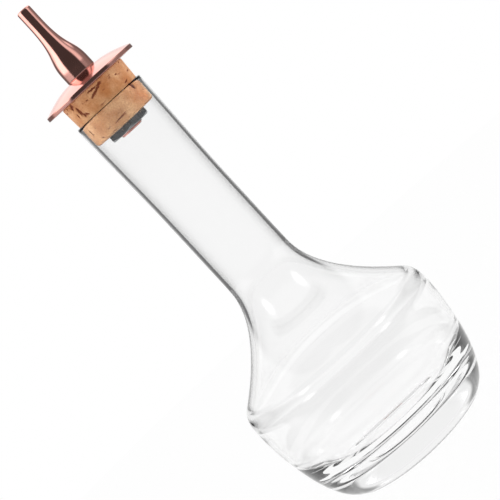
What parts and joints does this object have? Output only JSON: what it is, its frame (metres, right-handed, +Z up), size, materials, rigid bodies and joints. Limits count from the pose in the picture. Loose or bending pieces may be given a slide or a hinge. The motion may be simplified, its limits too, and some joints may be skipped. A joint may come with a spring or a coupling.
{
  "type": "cocktail bitters bottle",
  "caption": "Clear blown-glass dash bottle with a long neck, sloping shoulder and thick base, stopped by a tapered cork that carries a domed copper flange and a slender pouring spout.",
  "frame": {"origin": "centre of the foot ring, on the plane that the bottle stands on", "axes": "+Z up along the bottle's axis, from the foot ring to the tip of the spout"},
  "size_m": [0.065, 0.065, 0.1643],
  "materials": {
    "clear_glass": "blown soda-lime glass, fire-polished",
    "natural_cork": "turned natural cork, dry, with dark pores",
    "copper_plate": "turned brass, polished and copper plated",
    "steel": "plain machined steel"
  },
  "bodies": {
    "bottle": {"glass_bottle": "clear_glass"},
    "stopper": {"cork_stopper": "natural_cork", "domed_flange": "copper_plate", "dash_spout": "copper_plate", "hex_nut": "steel"}
  },
  "joints": [
    {"name": "stopper_lift", "type": "slide", "parent": "bottle", "child": "stopper", "axis": [0, 0, 1], "range_m": [0, 0.03]}
  ]
}
